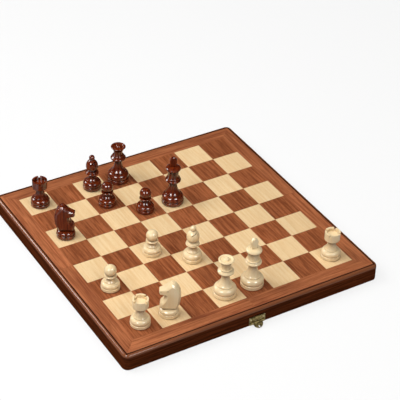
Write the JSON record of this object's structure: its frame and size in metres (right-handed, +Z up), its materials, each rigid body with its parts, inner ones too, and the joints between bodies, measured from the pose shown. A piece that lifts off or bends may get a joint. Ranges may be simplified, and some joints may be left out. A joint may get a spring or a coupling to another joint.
{
  "type": "folding chess set",
  "caption": "Folding wooden chess board with hinged tray halves and a front latch, and turned and carved men standing on its veneered squares.",
  "frame": {"origin": "on the floor under the middle of the seam, level with the bottoms of the hinge knuckles", "axes": "+X along the near edge, +Y across the seam to the far edge, +Z up out of the playing face"},
  "size_m": [0.37, 0.3829, 0.0967],
  "materials": {
    "rail_wood": "satin lacquer",
    "panel_ply": "bare plywood",
    "border_veneer": "gloss lacquer",
    "dark_veneer": "gloss lacquer",
    "light_veneer": "gloss lacquer",
    "hinge_brass": "satin",
    "latch_bronze": "aged, satin",
    "pin_steel": "bright",
    "white_lacquer": "gloss lacquer",
    "dark_lacquer": "gloss lacquer",
    "base_felt": "felt"
  },
  "bodies": {
    "near_half": {"near_end_rail": "rail_wood", "near_side_rails": "rail_wood", "near_seam_rail": "rail_wood", "near_panel": "panel_ply", "near_border": "border_veneer", "near_dark_squares": "dark_veneer", "near_light_squares": "light_veneer", "near_hinge_leaves": "hinge_brass", "hinge_pins": "pin_steel", "latch_plate": "latch_bronze", "latch_pin": "pin_steel"},
    "far_half": {"far_end_rail": "rail_wood", "far_side_rails": "rail_wood", "far_seam_rail": "rail_wood", "far_panel": "panel_ply", "far_border": "border_veneer", "far_dark_squares": "dark_veneer", "far_light_squares": "light_veneer", "far_hinge_leaves": "hinge_brass", "keeper_plate": "latch_bronze"},
    "latch_tongue": {"latch_tongue": "latch_bronze"},
    "white_rook_1": {"white_rook_1": "white_lacquer", "white_rook_1_felt": "base_felt"},
    "white_knight": {"white_knight_base": "white_lacquer", "white_knight_head": "white_lacquer", "white_knight_felt": "base_felt"},
    "white_queen": {"white_queen": "white_lacquer", "white_queen_felt": "base_felt"},
    "white_king": {"white_king": "white_lacquer", "white_king_felt": "base_felt"},
    "white_rook_2": {"white_rook_2": "white_lacquer", "white_rook_2_felt": "base_felt"},
    "white_pawn_1": {"white_pawn_1": "white_lacquer", "white_pawn_1_felt": "base_felt"},
    "white_bishop": {"white_bishop": "white_lacquer", "white_bishop_felt": "base_felt"},
    "white_pawn_2": {"white_pawn_2": "white_lacquer", "white_pawn_2_felt": "base_felt"},
    "dark_rook": {"dark_rook": "dark_lacquer", "dark_rook_felt": "base_felt"},
    "dark_bishop": {"dark_bishop": "dark_lacquer", "dark_bishop_felt": "base_felt"},
    "dark_queen": {"dark_queen": "dark_lacquer", "dark_queen_felt": "base_felt"},
    "dark_pawn_1": {"dark_pawn_1": "dark_lacquer", "dark_pawn_1_felt": "base_felt"},
    "dark_knight": {"dark_knight_base": "dark_lacquer", "dark_knight_head": "dark_lacquer", "dark_knight_felt": "base_felt"},
    "dark_pawn_2": {"dark_pawn_2": "dark_lacquer", "dark_pawn_2_felt": "base_felt"},
    "dark_king": {"dark_king": "dark_lacquer", "dark_king_felt": "base_felt"}
  },
  "joints": [
    {"name": "fold", "type": "hinge", "parent": "near_half", "child": "far_half", "pos_m": [0, 0, 0.0014], "axis": [-1, 0, 0], "range_deg": [0, 180]},
    {"name": "latch_swing", "type": "hinge", "parent": "near_half", "child": "latch_tongue", "pos_m": [0, -0.18665, 0.005], "axis": [-1, 0, 0], "range_deg": [-57.1, 95]},
    {"name": "white_rook_1_lift", "type": "slide", "parent": "near_half", "child": "white_rook_1", "axis": [0, 0, 1], "range_m": [0, 0.12]},
    {"name": "white_knight_lift", "type": "slide", "parent": "near_half", "child": "white_knight", "axis": [0, 0, 1], "range_m": [0, 0.12]},
    {"name": "white_queen_lift", "type": "slide", "parent": "near_half", "child": "white_queen", "axis": [0, 0, 1], "range_m": [0, 0.12]},
    {"name": "white_king_lift", "type": "slide", "parent": "near_half", "child": "white_king", "axis": [0, 0, 1], "range_m": [0, 0.12]},
    {"name": "white_rook_2_lift", "type": "slide", "parent": "near_half", "child": "white_rook_2", "axis": [0, 0, 1], "range_m": [0, 0.12]},
    {"name": "white_pawn_1_lift", "type": "slide", "parent": "near_half", "child": "white_pawn_1", "axis": [0, 0, 1], "range_m": [0, 0.12]},
    {"name": "white_bishop_lift", "type": "slide", "parent": "near_half", "child": "white_bishop", "axis": [0, 0, 1], "range_m": [0, 0.12]},
    {"name": "white_pawn_2_lift", "type": "slide", "parent": "near_half", "child": "white_pawn_2", "axis": [0, 0, 1], "range_m": [0, 0.12]},
    {"name": "dark_rook_lift", "type": "slide", "parent": "far_half", "child": "dark_rook", "axis": [0, 0, 1], "range_m": [0, 0.12]},
    {"name": "dark_bishop_lift", "type": "slide", "parent": "far_half", "child": "dark_bishop", "axis": [0, 0, 1], "range_m": [0, 0.12]},
    {"name": "dark_queen_lift", "type": "slide", "parent": "far_half", "child": "dark_queen", "axis": [0, 0, 1], "range_m": [0, 0.12]},
    {"name": "dark_pawn_1_lift", "type": "slide", "parent": "far_half", "child": "dark_pawn_1", "axis": [0, 0, 1], "range_m": [0, 0.12]},
    {"name": "dark_knight_lift", "type": "slide", "parent": "far_half", "child": "dark_knight", "axis": [0, 0, 1], "range_m": [0, 0.12]},
    {"name": "dark_pawn_2_lift", "type": "slide", "parent": "far_half", "child": "dark_pawn_2", "axis": [0, 0, 1], "range_m": [0, 0.12]},
    {"name": "dark_king_lift", "type": "slide", "parent": "far_half", "child": "dark_king", "axis": [0, 0, 1], "range_m": [0, 0.12]}
  ]
}
